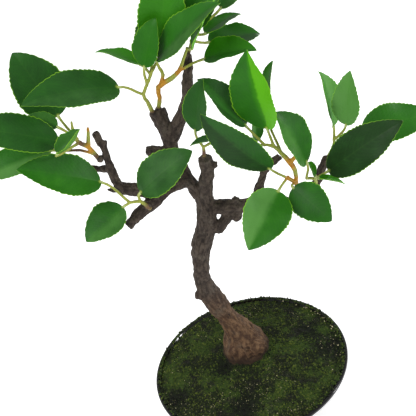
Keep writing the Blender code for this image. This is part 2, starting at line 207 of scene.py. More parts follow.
# %% [markdown]
# ## Colours as they look
# Colours are easiest to judge as they look on a screen, but light adds up in linear numbers. The
# screen's curve is undone: ((c + 0.055) / 1.055)^2.4, and a straight line near black.

# %% Turn a seen colour into linear numbers


def tint(red, green, blue):
    """A colour as it looks on a screen, 0 to 255, in the linear numbers that shaders use."""
    curve = [(c / 255 + 0.055) / 1.055 if c > 10 else c / 255 / 12.92 for c in (red, green, blue)]
    return tuple(c ** 2.4 if value > 10 else c
                 for c, value in zip(curve, (red, green, blue))) + (1.0,)


print("a leaf green in linear numbers:", [round(c, 3) for c in tint(50, 110, 35)])

# %% [markdown]
# ## Surfaces from whole arrays
# Every new piece is a sheet of points worked out at once with numpy: rows along the piece, columns
# round it. The same helpers join the points into faces, close the ends, and make the object.

# %% Points to faces to an object


def ring_faces(rows, columns):
    """Quads of a grid whose columns close on themselves, facing out where the columns turn left."""
    row, column = np.meshgrid(np.arange(rows - 1), np.arange(columns), indexing="ij")
    after = (column + 1) % columns
    return np.stack([row * columns + column, row * columns + after,
                     (row + 1) * columns + after, (row + 1) * columns + column], -1).reshape(-1, 4)


def end_fans(rows, columns, first, last):
    """Triangles that close the first and the last ring on two pole points."""
    column = np.arange(columns)
    after = (column + 1) % columns
    low = np.stack([after, column, np.full(columns, first)], -1)
    base = (rows - 1) * columns
    high = np.stack([base + column, base + after, np.full(columns, last)], -1)
    return np.concatenate([low, high])


def mesh_from(name, points, quads=(), triangles=()):
    """A smooth mesh from arrays of points, quads and triangles."""
    quads = np.asarray(quads, np.int32).reshape(-1, 4)
    triangles = np.asarray(triangles, np.int32).reshape(-1, 3)
    corners = np.concatenate([quads.ravel(), triangles.ravel()])
    sizes = np.concatenate([np.full(len(quads), 4), np.full(len(triangles), 3)])
    starts = np.concatenate([[0], np.cumsum(sizes)[:-1]])
    mesh = bpy.data.meshes.new(name)
    mesh.vertices.add(len(points))
    mesh.vertices.foreach_set("co", np.asarray(points, np.float32).ravel())
    mesh.loops.add(len(corners))
    mesh.loops.foreach_set("vertex_index", corners.astype(np.int32))
    mesh.polygons.add(len(sizes))
    mesh.polygons.foreach_set("loop_start", starts.astype(np.int32))
    mesh.update(calc_edges=True)
    mesh.shade_smooth()
    return mesh


def paint(mesh, name, values):
    """Store one number for each point, for the material to read."""
    layer = mesh.attributes.new(name, "FLOAT", "POINT")
    layer.data.foreach_set("value", np.asarray(values, np.float32).ravel())


def add_piece(mesh, material, slot, *nodes):
    """Show the mesh as a piece that stands for these parts and stays with the pot."""
    mesh.materials.clear()
    mesh.materials.append(material)
    piece = bpy.data.objects.new(mesh.name, mesh)
    bpy.context.scene.collection.objects.link(piece)
    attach(piece, "root")
    if nodes:
        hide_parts(*nodes)


print("4 rings of 6:", len(ring_faces(4, 6)), "quads and", len(end_fans(4, 6, 0, 1)), "end triangles")

# %% [markdown]
# ## Noise in numpy
# Bark and moss get real relief, not only a bump in the material, so the same kind of noise that a
# shader has is needed for points: random numbers on a lattice, blended smoothly inside each cell.

# %% Lattice noise
SCATTER = np.array([374761393, 668265263, 2147483647])
SEED_STEP, STIR = 974634777, 1274126177
LOW_32, LOW_16 = 0xFFFFFFFF, 0xFFFF


def lattice(cells, seed):
    """A repeatable random number from 0 to 1 for each whole-numbered cell corner: its three numbers
    times large odd ones are added, stirred by shifts and a product, and the low bits are kept."""
    mixed = (cells @ SCATTER + seed * SEED_STEP) & LOW_32
    mixed = ((mixed ^ (mixed >> 13)) * STIR) & LOW_32
    return ((mixed ^ (mixed >> 16)) & LOW_16) / LOW_16


def noise(points, size, seed):
    """Value noise from -1 to 1: corner numbers blended by 3t^2 - 2t^3 along each axis."""
    cell = np.floor(points / size).astype(np.int64)
    share = points / size - cell
    share = share * share * (3.0 - 2.0 * share)
    total = 0.0
    for corner in product((0, 1), repeat=3):
        weight = np.where(corner, share, 1.0 - share).prod(axis=1)
        total = total + weight * lattice(cell + corner, seed)
    return 2.0 * total - 1.0


def fractal(points, size, octaves, seed):
    """Noise plus the same at half the size and half the strength, and so on."""
    return sum(noise(points, size / 2 ** k, seed + k) / 2 ** k for k in range(octaves))


print("noise at three points:", np.round(noise(np.eye(3) * 0.01, 0.004, 1), 3))

# %% [markdown]
# ## Pot
# The pot is a shallow round bowl with a glossy black glaze and a thin lip. On a wheel or in a mould it
# is a turned shape, so it is one profile carried round the axis. The profile's corners are rounded one
# by one, because the glaze shows as bright lines exactly where an edge is round.

# %% Turn the pot
POT_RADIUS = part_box("pot")[1].x
FOOT_RADIUS = 40 * MM
FOOT_ROUND = 1.2 * MM
FOOT_RECESS = 0.8 * MM
FLOOR_HEIGHT = 3.0 * MM
LIP_WIDTH = 2.4 * MM
LIP_DEPTH = 2.8 * MM
OUTER_BEAD = 1.1 * MM
INNER_BEAD = 0.7 * MM
TURNS = 256


def arc(centre, radius, start, stop, count=7):
    """Points on a circle in the (radius, height) plane, from one angle in degrees to another."""
    angle = np.radians(np.linspace(start, stop, count))
    return np.stack([centre[0] + radius * np.cos(angle), centre[1] + radius * np.sin(angle)], 1)


def turned(name, profile):
    """Carry a closed (radius, height) profile, axis to axis, once round Z. It faces out if it runs
    from the bottom of the axis outwards and up."""
    angle = np.linspace(0.0, 2.0 * math.pi, TURNS, endpoint=False)
    reach, height = profile[1:-1, 0], profile[1:-1, 1]
    points = np.stack([reach[:, None] * np.cos(angle), reach[:, None] * np.sin(angle),
                       np.broadcast_to(height[:, None], (len(reach), TURNS))], -1).reshape(-1, 3)
    poles = [(0.0, 0.0, profile[0, 1]), (0.0, 0.0, profile[-1, 1])]
    rows = len(reach)
    return mesh_from(name, np.concatenate([points, poles]), ring_faces(rows, TURNS),
                     end_fans(rows, TURNS, rows * TURNS, rows * TURNS + 1))


lip_low = RIM_HEIGHT - LIP_DEPTH
pot_profile = np.concatenate([
    [(0.0, FOOT_RECESS), (FOOT_RADIUS - 6 * MM, FOOT_RECESS), (FOOT_RADIUS - 5.2 * MM, 0.2 * MM),
     (FOOT_RADIUS - 4.6 * MM, 0.0), (FOOT_RADIUS - 1.6 * MM, 0.0)],
    arc((FOOT_RADIUS - FOOT_ROUND, FOOT_ROUND), FOOT_ROUND, -90, -35),
    [(FOOT_RADIUS + 8 * MM, 10.0 * MM), (FOOT_RADIUS + 18 * MM, 22.0 * MM),
     (FOOT_RADIUS + 27 * MM, 34.5 * MM)],
    arc((POT_RADIUS - LIP_WIDTH + 0.2 * MM, lip_low - 0.6 * MM), 0.6 * MM, -35, 60, 4),
    arc((POT_RADIUS - OUTER_BEAD, lip_low + OUTER_BEAD), OUTER_BEAD, -70, 0, 6),
    arc((POT_RADIUS - OUTER_BEAD, RIM_HEIGHT - OUTER_BEAD), OUTER_BEAD, 0, 90, 8),
    arc((POT_RADIUS - LIP_WIDTH + INNER_BEAD, RIM_HEIGHT - INNER_BEAD), INNER_BEAD, 90, 180, 6),
    [(POT_RADIUS - 2.0 * LIP_WIDTH, lip_low), (FOOT_RADIUS - LIP_WIDTH, FLOOR_HEIGHT),
     (0.0, FLOOR_HEIGHT)],
])
pot_mesh = turned("pot_shell", pot_profile)
print("pot:", len(pot_profile), "profile points,", len(pot_mesh.polygons), "faces")

# %% [markdown]
# ## Black glaze
# Glaze is a clear glass coat over a black body. The body is a little rough, the coat is smooth, and a
# glaze that has been handled has faint dust, which greys it a little and dulls its coat. The block of
# filler below the moss hardly shows, so its own mesh is kept and only gets a rough earthy finish.

# %% Glaze the pot
glaze = Recipe("black_glaze")
dust = glaze.ease(glaze.noise(1.1 * MM, 2.0), 0.62, 0.80)
glaze_wave = glaze.noise(9 * MM, 2.0)
glaze_material = glaze.serve(
    Base_Color=glaze.mix(dust * 0.25, tint(8, 8, 9), tint(46, 44, 40)),
    Roughness=0.14 + 0.10 * glaze_wave + 0.25 * dust,
    Specular_IOR_Level=0.18,
    Coat_Weight=0.42 - 0.4 * dust,
    Coat_Roughness=0.05,
    Normal=glaze.bump(glaze_wave, 0.25 * MM))
add_piece(pot_mesh, glaze_material, "black_gloss", "pot")

core = Recipe("filler_core")
core_grain = core.noise(2.5 * MM, 5.0)
core_material = core.serve(Base_Color=core.mix(core_grain, tint(46, 38, 30), tint(88, 76, 62)),
                           Roughness=0.92, Normal=core.bump(core_grain, 0.6 * MM))
filler_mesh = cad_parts["filler"].data
filler_mesh.materials.clear()
filler_mesh.materials.append(core_material)
print("glazed:", glaze_material.name, "and a rough core below the moss:", core_material.name)

# %% [markdown]
# ## Moss bed
# The moss is a glued layer, nearly level, a little higher in the middle, with low mounds, and hollows
# where it is rubbed off and the black ground shows. It has a round opening for the trunk, so its
# surface runs from the opening's circle to the rim's circle: a blend of two circles, lifted by noise,
# with a flat underside that closes it. Each bare spot has a middle and a reach in millimetres.

# %% Shape the bed
MOSS_LOW, MOSS_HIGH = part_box("moss")
MOSS_RADIUS = MOSS_HIGH.x
TRUNK_SPOT = np.array([0.0, 10 * MM])
OPENING_RADIUS = 17 * MM
EDGE_BELOW_RIM = 1.2 * MM
MOSS_RISE = MOSS_HIGH.z - (RIM_HEIGHT - EDGE_BELOW_RIM)
MOUND_SIZE, MOUND_HEIGHT = 14 * MM, 0.9 * MM
TUFT_SIZE, TUFT_HEIGHT = 2.4 * MM, 0.45 * MM
HOLLOW_DEPTH = 0.9 * MM
MOSS_SINK = 0.5 * MM
UNDERSIDE_INSET = 1.6 * MM
BED_ROWS, BED_TURNS = 90, 400
BARE_SPOTS = [(43, 41, 5), (-62, -20, 9), (-22, -5, 8), (-15, -44, 12), (62, -6, 13), (50, 15, 9)]


def bareness(x, y):
    """1 in the middle of a bare spot and 0 well outside it: exp(-(distance / reach)^2)."""
    return np.max([np.exp(-((x - a * MM) ** 2 + (y - b * MM) ** 2) / (reach * MM) ** 2)
                   for a, b, reach in BARE_SPOTS], axis=0)


def moss_height(x, y):
    """Height of the moss: dome - sink + mounds + tufts - hollows, where the last three fade out in the
    last millimetres before the rim. The dome is edge + rise * (1 - (distance / radius)^2), and the sink
    leaves room for the mounds."""
    flat = np.stack([x, y, np.zeros_like(x)], -1).reshape(-1, 3)
    share = np.hypot(x, y) / MOSS_RADIUS
    mounds = fractal(flat, MOUND_SIZE, 2, 11).reshape(x.shape) * MOUND_HEIGHT
    tufts = fractal(flat, TUFT_SIZE, 2, 21).reshape(x.shape) * TUFT_HEIGHT
    dome = RIM_HEIGHT - EDGE_BELOW_RIM + MOSS_RISE * (1.0 - share ** 2)
    hollows = HOLLOW_DEPTH * bareness(x, y)
    return dome + (mounds + tufts - hollows) * np.clip((1.0 - share) * 12.0, 0.15, 1.0) - MOSS_SINK


angle = np.linspace(0.0, 2.0 * math.pi, BED_TURNS, endpoint=False)
share = np.linspace(0.0, 1.0, BED_ROWS)[:, None]
inner_x = TRUNK_SPOT[0] + OPENING_RADIUS * np.cos(angle)
inner_y = TRUNK_SPOT[1] + OPENING_RADIUS * np.sin(angle)
bed_x = (1 - share) * inner_x + share * MOSS_RADIUS * np.cos(angle)
bed_y = (1 - share) * inner_y + share * MOSS_RADIUS * np.sin(angle)
bed_top = np.stack([bed_x, bed_y, moss_height(bed_x, bed_y)], -1)
bed_under = bed_top[[-1, 0]].copy()
bed_under[..., 2] = MOSS_LOW.z
bed_under[0, :, :2] *= 1.0 - UNDERSIDE_INSET / MOSS_RADIUS
bed_rings = np.concatenate([bed_under[1:], bed_top, bed_under[:1]])
bed_faces = ring_faces(len(bed_rings) + 1, BED_TURNS)[:, ::-1] % (len(bed_rings) * BED_TURNS)
bed_points = bed_rings.reshape(-1, 3)
bed_mesh = mesh_from("moss_bed", bed_points, bed_faces)
paint(bed_mesh, "tone", 0.45 - 0.45 * bareness(bed_points[:, 0], bed_points[:, 1]))
print("moss bed:", len(bed_mesh.polygons), "faces, dome", round(MOSS_RISE / MM, 1), "mm")

# %% [markdown]
# ## Moss finish
# Seen close, the moss is a mottle of leaf green, olive, and places so dark that the black ground
# shows. Three noises of different sizes choose between four greens, and a number painted on each
# crumb makes neighbours differ.

# %% Colour the moss
moss = Recipe("moss_green")
moss_tone = moss.attribute("tone")
patches = moss.noise(17 * MM, 4.0, 0.6)
speckle = moss.noise(1.6 * MM, 3.0, 0.7)
bare = moss.ease(moss.noise(11 * MM, 5.0, 0.68) + 0.25 * speckle, 0.62, 0.78)
green = moss.mix(moss.ease(patches + 0.35 * (moss_tone - 0.5), 0.38, 0.62),
                 tint(25, 34, 14), tint(58, 80, 26))
green = moss.mix(moss.ease(speckle + 0.5 * (moss_tone - 0.5), 0.50, 0.84), green, tint(104, 116, 42))
green = moss.mix(moss.ease(0.72 - moss_tone - speckle, 0.0, 0.35), green, tint(12, 15, 9))
moss_material = moss.serve(
    Base_Color=moss.mix(bare * 0.80, green, tint(17, 17, 11)),
    Roughness=0.86 - 0.25 * bare,
    Specular_IOR_Level=0.3,
    Normal=moss.bump(moss.noise(0.7 * MM, 4.0, 0.7), 0.9 * MM))
add_piece(bed_mesh, moss_material, "moss", "moss")
print("moss finish:", len(moss.tree.nodes), "nodes")

# %% [markdown]
# ## One crumb, many times
# Thousands of crumbs lie on the bed. Each is a lopsided ball of twenty faces, so even ten thousand
# stay light. All crumbs of one kind are one array: the ball's twelve corners are stretched, turned
# and moved for every crumb at once.

# %% Shape the crumbs
GOLDEN = (1.0 + 5.0 ** 0.5) / 2.0
BALL_POINTS = np.array([(-1, GOLDEN, 0), (1, GOLDEN, 0), (-1, -GOLDEN, 0), (1, -GOLDEN, 0),
                        (0, -1, GOLDEN), (0, 1, GOLDEN), (0, -1, -GOLDEN), (0, 1, -GOLDEN),
                        (GOLDEN, 0, -1), (GOLDEN, 0, 1), (-GOLDEN, 0, -1), (-GOLDEN, 0, 1)])
BALL_POINTS = BALL_POINTS / np.linalg.norm(BALL_POINTS[0])
BALL_CORNERS = len(BALL_POINTS)
BALL_FACES = np.array([(0, 11, 5), (0, 5, 1), (0, 1, 7), (0, 7, 10), (0, 10, 11), (1, 5, 9), (5, 11, 4),
                       (11, 10, 2), (10, 7, 6), (7, 1, 8), (3, 9, 4), (3, 4, 2), (3, 2, 6), (3, 6, 8),
                       (3, 8, 9), (4, 9, 5), (2, 4, 11), (6, 2, 10), (8, 6, 7), (9, 8, 1)])


def random_turns(count, rng):
    """Random rotations as matrices, from random unit quaternions."""
    q = rng.normal(size=(count, 4))
    w, x, y, z = (q / np.linalg.norm(q, axis=1)[:, None]).T
    return np.stack([1 - 2 * (y * y + z * z), 2 * (x * y - w * z), 2 * (x * z + w * y),
                     2 * (x * y + w * z), 1 - 2 * (x * x + z * z), 2 * (y * z - w * x),
                     2 * (x * z - w * y), 2 * (y * z + w * x), 1 - 2 * (x * x + y * y)],
                    -1).reshape(-1, 3, 3)


def crumbs(name, centres, sizes, tones, rng):
    """Lopsided balls at the centres: corners pushed in or out a little, stretched and turned."""
    count = len(centres)
    lopsided = BALL_POINTS * rng.uniform(0.75, 1.2, (count, BALL_CORNERS, 1))
    stretched = lopsided * (sizes[:, None] * rng.uniform(0.6, 1.25, (count, 3)))[:, None, :]
    points = np.einsum("nij,nkj->nki", random_turns(count, rng), stretched) + centres[:, None, :]
    faces = BALL_FACES[None] + BALL_CORNERS * np.arange(count)[:, None, None]
    mesh = mesh_from(name, points.reshape(-1, 3), triangles=faces.reshape(-1, 3))
    paint(mesh, "tone", np.repeat(tones, BALL_CORNERS))
    return mesh


print("a crumb:", BALL_CORNERS, "corners,", len(BALL_FACES), "faces")

# %% [markdown]
# ## Moss crumbs
# The crumbs are laid evenly over the bed, sunk by about a third so that they look grown in, and darker
# on the bare spots. They come in two pieces, so that neither gets too heavy.

# %% Scatter the crumbs
FOOT_CLEAR = 15 * MM
CRUMBS = 6500


def round_the_pot(reach, turn):
    """Flat places at a distance from the middle and a turn about it."""
    return np.stack([reach * np.cos(turn), reach * np.sin(turn)], 1)


def spread(count, rng):
    """Even random places on the bed, outside the trunk's foot: the distance from the middle goes
    with the square root of a random share."""
    reach = MOSS_RADIUS * np.sqrt(rng.uniform(0.0, 1.0, 2 * count))
    spots = round_the_pot(reach, rng.uniform(0.0, 2.0 * math.pi, 2 * count))
    return spots[np.linalg.norm(spots - TRUNK_SPOT, axis=1) > FOOT_CLEAR][:count]


def on_moss(spots, lift):
    """Put flat places on the moss surface, raised by a lift."""
    return np.column_stack([spots, moss_height(spots[:, 0], spots[:, 1]) + lift])


rng = np.random.default_rng(7)
for part in range(2):
    spots = spread(CRUMBS, rng)
    sizes = rng.uniform(0.35, 0.85, len(spots)) * MM
    tones = rng.uniform(0.1, 0.95, len(spots)) - 0.55 * bareness(*spots.T)
    mesh = crumbs(f"moss_crumbs_{part + 1}", on_moss(spots, 0.3 * sizes), sizes, tones, rng)
    add_piece(mesh, moss_material, "moss")
print("crumbs in each piece:", len(spots), "faces:", len(mesh.polygons))

# %% [markdown]
# ## Glints
# Here and there a crumb is coated and glossy. Its colour runs from the grains' own dull yellow to nearly
# white, and the nearly white is a painted glint. They are thickest towards the front left and on the
# bare spots. A few more, mostly nearly white, lie along the right edge as painted glints. Many places
# are tried, and a place keeps its glint if the crowding there beats a random number.

# %% Add glints and wet crumbs
GLINT_TRIES, EDGE_GLINTS = 5200, 26
CROWD_SIZE = 16 * MM

sparkle = Recipe("moss_glint")
sparkle_tone = sparkle.attribute("tone")
# The colour runs from the grains' own dull yellow to nearly white; the nearly white end is a painted
# glint.
sparkle_material = sparkle.serve(
    Base_Color=sparkle.mix(sparkle_tone, tint(104, 104, 48), tint(238, 228, 178)),
    Roughness=0.18 + 0.2 * sparkle.noise(0.6 * MM, 1.0),
    Coat_Weight=0.6)
spots = spread(GLINT_TRIES, rng)
crowding = fractal(np.column_stack([spots, np.zeros(len(spots))]), CROWD_SIZE, 2, 31)
crowding = crowding - 4.0 * (spots[:, 0] + spots[:, 1]) + 0.5 * bareness(*spots.T)
spots = spots[crowding > rng.uniform(-0.2, 1.9, len(spots))]
sizes = rng.uniform(0.14, 0.40, len(spots)) * MM
glint_tones = rng.uniform(0.0, 1.0, len(spots)) ** 2
glint_mesh = crumbs("moss_glints", on_moss(spots, 0.45 * MM), sizes, glint_tones, rng)
add_piece(glint_mesh, sparkle_material, "moss")

# Mostly nearly white crumbs along the right edge: painted glints.
edge_glint_turn = np.radians(rng.normal(14.0, 17.0, EDGE_GLINTS))
edge_glint_reach = MOSS_RADIUS - np.abs(rng.normal(0.0, 1.6, EDGE_GLINTS)) * MM
edge_glint_places = on_moss(round_the_pot(edge_glint_reach, edge_glint_turn), 0.8 * MM)
edge_glint_sizes = rng.uniform(0.3, 0.7, EDGE_GLINTS) * MM
edge_glint_mesh = crumbs("edge_glint_crumbs", edge_glint_places, edge_glint_sizes, rng.uniform(0.3, 1.3, EDGE_GLINTS), rng)
add_piece(edge_glint_mesh, sparkle_material, "moss")
print("glints:", len(spots), "glinting crumbs:", EDGE_GLINTS)

# %% [markdown]
# ## Strays and collar
# Crumbs have strayed onto the inner half of the pot's lip, most of them at the back, and break its
# smooth outline. A collar of crumbs climbs the foot of the trunk and hides the bed's round opening.

# %% Scatter strays and the collar
STRAYS, COLLAR = 2000, 900
COLLAR_EDGE = 19.8 * MM
stray_turn = rng.uniform(0.0, 2.0 * math.pi, STRAYS)
backness = 0.5 + 0.5 * np.sin(stray_turn)
stray_inset = 0.5 + 1.1 * (1.0 - backness) + 3.4 * rng.uniform(0.0, 1.0, STRAYS) ** 0.6
stray_sizes = rng.uniform(0.3, 0.9, STRAYS) * MM
strays = np.column_stack([round_the_pot(POT_RADIUS - stray_inset * MM, stray_turn),
                          RIM_HEIGHT + (0.35 + 0.3 * backness) * stray_sizes])
collar_turn = rng.uniform(0.0, 2.0 * math.pi, COLLAR)
collar_reach = rng.uniform(16.2, 19.5, COLLAR) * MM
collar_sizes = rng.uniform(0.4, 1.0, COLLAR) * MM
collar_lift = (COLLAR_EDGE - collar_reach) * 0.5
collar = on_moss(TRUNK_SPOT + round_the_pot(collar_reach, collar_turn), collar_lift)
collar_mesh = crumbs("collar_crumbs", collar, collar_sizes, rng.uniform(0.0, 0.7, COLLAR), rng)
add_piece(collar_mesh, moss_material, "moss")
stray_mesh = crumbs("stray_crumbs", strays, stray_sizes, rng.uniform(0.0, 0.85, STRAYS), rng)
add_piece(stray_mesh, moss_material, "moss")
print("strays:", STRAYS, "collar crumbs:", COLLAR)

# %% [markdown]
# ## Twig roots and a copy to work on
# A designed part is loose triangles, so a copy is made and its corners are merged before anything is
# wrapped round it. The list gives the middle of each twig's root in millimetres, where a plug of bark
# closes the socket.

# %% Copy a part and read its points
PLUG_RADIUS = 2.5 * MM
TWIG_ROOTS = {"twig_far_left": (-55, -11, 244), "twig_low_left": (-36, -17, 207),
              "twig_top_left": (-17, 13, 254), "twig_top_right": (-13, 16, 254),
              "twig_tip": (14, 4, 286), "twig_middle": (7, -5, 222), "twig_right": (61, 1, 172),
              "twig_right_low": (76, 4, 176), "twig_right_end": (87, 5, 193)}


def merged_copy(node, plugs=()):
    """The points and triangles of a part, with the corners that coincide made one. Plugs are small
    balls of bark round each twig's root, which close the gap between twig and socket."""
    shell = bmesh.new()
    shell.from_mesh(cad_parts[node].data)
    bmesh.ops.remove_doubles(shell, verts=shell.verts, dist=1e-6)
    for plug in plugs:
        spot = Matrix.Translation(Vector(plug) * MM)
        bmesh.ops.create_icosphere(shell, subdivisions=2, radius=PLUG_RADIUS, matrix=spot)
    mesh = bpy.data.meshes.new(node + "_copy")
    shell.to_mesh(mesh)
    shell.free()
    return mesh


def read_points(mesh):
    """The points as rows of x, y, z."""
    points = np.empty(len(mesh.vertices) * 3)
    mesh.vertices.foreach_get("co", points)
    return points.reshape(-1, 3)


def read_normals(mesh):
    """The unit normal at each point, as rows of x, y, z."""
    normals = np.empty(len(mesh.vertices) * 3)
    mesh.vertex_normals.foreach_get("vector", normals)
    return normals.reshape(-1, 3)


def move_points(mesh, points):
    """Put the points in new places and shade the mesh smooth."""
    mesh.vertices.foreach_set("co", points.astype(np.float32).ravel())
    mesh.update()
    mesh.shade_smooth()


print("twigs:", len(TWIG_ROOTS), "corners of the trunk's copy:", len(read_points(merged_copy("trunk"))))

# %% [markdown]
# ## Bark
# The trunk's solid is a plain faceted tube with limbs. Real bark follows each limb: low ridges run
# along it, knots swell, and small dark pits break it. So a fine skin is wrapped round the copy (a
# voxel remesh) and smoothed, and later moved in and out along its normals by noise.

# %% Wrap a fine skin round a part
BARK_VOXEL, BARK_ROUNDS = 0.58 * MM, 4


def fine_skin(name, node, voxel, rounds, plugs=()):
    """A voxel remesh of a part, smoothed: each round moves every point to the mean of itself and
    the mean of its neighbours."""
    item = bpy.data.objects.new(name, merged_copy(node, plugs))
    bpy.context.scene.collection.objects.link(item)
    remesh = item.modifiers.new("skin", "REMESH")
    remesh.mode = "VOXEL"
    remesh.voxel_size = voxel
    graph = bpy.context.evaluated_depsgraph_get()
    mesh = bpy.data.meshes.new_from_object(item.evaluated_get(graph))
    bpy.data.objects.remove(item, do_unlink=True)
    mesh.name = name
    edges = np.empty(len(mesh.edges) * 2, np.int32)
    mesh.edges.foreach_get("vertices", edges)
    start, stop = edges.reshape(-1, 2).T
    both, other = np.concatenate([start, stop]), np.concatenate([stop, start])
    neighbours = np.bincount(both, minlength=len(mesh.vertices))
    points = read_points(mesh)
    for _ in range(rounds):
        sums = np.stack([np.bincount(both, points[other, axis], len(points)) for axis in range(3)], 1)
        points = 0.5 * (points + sums / neighbours[:, None])
    move_points(mesh, points)
    return mesh


trunk_mesh = fine_skin("trunk_bark", "trunk", BARK_VOXEL, BARK_ROUNDS, TWIG_ROOTS.values())
print("bark skin:", len(trunk_mesh.vertices), "points")

# %% [markdown]
# ## The run of the bark
# The ridges' noise has to be stretched along each limb, whichever way that limb points. The direction
# is found from the skin: along a limb the surface normals hardly change, round it they turn right
# round.

# %% Find which way each limb runs
LIMB_CELL = 6 * MM


def limb_directions(points, normals, cell):
    """Unit vectors along the limbs. Each cell of a coarse grid sums n n^T of the normals in it, and is
    blurred with its neighbours. The eigenvector with the least value is where normals change least."""
    place = np.floor((points - points.min(0)) / cell).astype(int) + 1
    size = place.max(0) + 2
    index = np.ravel_multi_index(place.T, size)
    outer = (normals[:, :, None] * normals[:, None, :]).reshape(-1, 9)
    grid = np.stack([np.bincount(index, outer[:, k], size.prod()) for k in range(9)], 1)
    grid = grid.reshape(*size, 9)
    for axis in range(3):
        grid = grid + np.roll(grid, 1, axis) + np.roll(grid, -1, axis)
    used, which = np.unique(index, return_inverse=True)
    tensors = grid.reshape(-1, 3, 3)[used]
    return np.linalg.eigh(tensors)[1][:, :, 0][which]


def drawn_out(points, along, reach, size, seed):
    """Noise smeared along a direction: the mean of samples on a short line through each point,
    heaviest in the middle, brought back to a spread of 1."""
    steps = np.linspace(-1.0, 1.0, 9)
    total = sum((1.0 - abs(step)) * noise(points + along * (step * reach), size, seed)
                for step in steps)
    return total / total.std()


skin, outward = read_points(trunk_mesh), read_normals(trunk_mesh)
along = limb_directions(skin, outward, LIMB_CELL)
print("share of the bark that runs more up than across:", round((abs(along[:, 2]) > 0.7).mean(), 2))

# %% [markdown]
# ## Relief of the bark
# Five heights add up: swellings about 9 mm wide, ridges drawn out along the limb, fine fibres, a rough
# crust, and pits, each exp(-(distance / radius)^2) and longer along the limb. They fade out below the
# moss. The numbers for ridge, pit and fibre are painted on the points too, so that the colour can be
# dark exactly where the surface goes in, as painted shade in the recesses.

# %% Raise ridges and sink pits
SWELLING, RIDGE, FIBRE, CRUST, PIT = 0.60 * MM, 0.22 * MM, 0.12 * MM, 0.34 * MM, 0.55 * MM
SWELLING_SIZE, CRUST_SIZE = 9 * MM, 2.6 * MM
RIDGE_REACH, RIDGE_SIZE = 4 * MM, 2.0 * MM
FIBRE_REACH, FIBRE_SIZE = 2.5 * MM, 1.2 * MM
PITS = 520
ROOT_DEPTH, RELIEF_FADE = 3 * MM, 4 * MM
ridges = drawn_out(skin, along, RIDGE_REACH, RIDGE_SIZE, 41)
ridge_height = 1.0 - np.exp(-ridges ** 2 * 1.6)
fibres = drawn_out(skin, along, FIBRE_REACH, FIBRE_SIZE, 43)
crust = fractal(skin, CRUST_SIZE, 2, 47)
swellings = fractal(skin, SWELLING_SIZE, 2, 45)
rng = np.random.default_rng(19)
pits = np.zeros(len(skin))
for centre in skin[rng.choice(len(skin), PITS, replace=False)]:
    away = skin - centre
    length_wise = (away * along).sum(1)
    radius = rng.uniform(0.6, 1.5) * MM
    across = (away ** 2).sum(1) - length_wise ** 2
    pit = np.exp(-(across + (0.45 * length_wise) ** 2) / radius ** 2)
    pits = np.maximum(pits, pit * rng.uniform(0.4, 1.0))
lift = SWELLING * swellings + RIDGE * (ridge_height - 0.55) + FIBRE * fibres + CRUST * crust
lift = lift - PIT * pits
above_moss = np.clip((skin[:, 2] - (RIM_HEIGHT - ROOT_DEPTH)) / RELIEF_FADE, 0.0, 1.0)
move_points(trunk_mesh, skin + outward * (lift * above_moss)[:, None])
# ridge, pit and fibre let the colour go darker where the relief goes in: a painted shade.
paint(trunk_mesh, "ridge", 0.5 * ridge_height + 0.5 * np.clip(0.5 + 0.5 * crust, 0, 1))
paint(trunk_mesh, "pit", pits)
paint(trunk_mesh, "fibre", 0.5 + 0.2 * fibres)
print("relief from", round(lift.min() / MM, 2), "to", round(lift.max() / MM, 2), "mm")

# %% [markdown]
# ## Bark finish
# The bark is a cool grey-brown above and a warmer, lighter brown near the ground. Its colour follows
# the relief: ridges are lighter and grooves and pits nearly black, which is painted shade in the
# recesses over the bark's own grain. Specks are nearly black too, a little lichen grey lies over all,
# and the foot is darkened where it meets the moss, a painted contact shade.

# %% Colour the bark
WARM_FROM, WARM_TO = RIM_HEIGHT + 34 * MM, RIM_HEIGHT + 84 * MM
# Heights over which the painted shade at the trunk's foot fades out.
FOOT_SHADE_FROM, FOOT_SHADE_TO = RIM_HEIGHT + 4 * MM, RIM_HEIGHT + 12 * MM

bark = Recipe("bark")
ridge, pit, fibre = (bark.attribute(name) for name in ("ridge", "pit", "fibre"))
height = bark.add("ShaderNodeSeparateXYZ", sockets={0: bark.place()}, out="Z")
cloud = bark.noise(13 * MM, 4.0, 0.6)
grain = bark.noise(1.1 * MM, 5.0, 0.72)
specks = bark.noise(2.0 * MM, 3.0, 0.6)
lowness = 1.0 - bark.ease(height + 30 * MM * (cloud - 0.5), WARM_FROM, WARM_TO)
# Lighter on ridges and nearly black in grooves: painted shade that follows the relief, over the bark's
# own grain and cloud.
ridge_colour = bark.mix(lowness, tint(84, 73, 64), tint(118, 90, 64))
groove_shade = bark.mix(lowness, tint(45, 37, 32), tint(66, 46, 33))
raised = 0.40 * ridge + 0.25 * fibre + 0.9 * (grain - 0.5) + 0.4 * (cloud - 0.5)
wood = bark.mix(bark.ease(raised, 0.10, 0.62), groove_shade, ridge_colour)
wood = bark.mix(bark.ease(cloud + 0.3 * grain, 0.66, 0.86) * 0.35, wood, tint(92, 88, 78))
wood = bark.mix(bark.ease(specks + 0.4 * (grain - 0.5), 0.58, 0.74) * 0.75, wood, tint(30, 25, 22))
# Nearly black in the pits: painted shade.
wood = bark.mix(bark.ease(pit + 0.5 * (grain - 0.5), 0.40, 1.0) * 0.9, wood, tint(26, 20, 18))
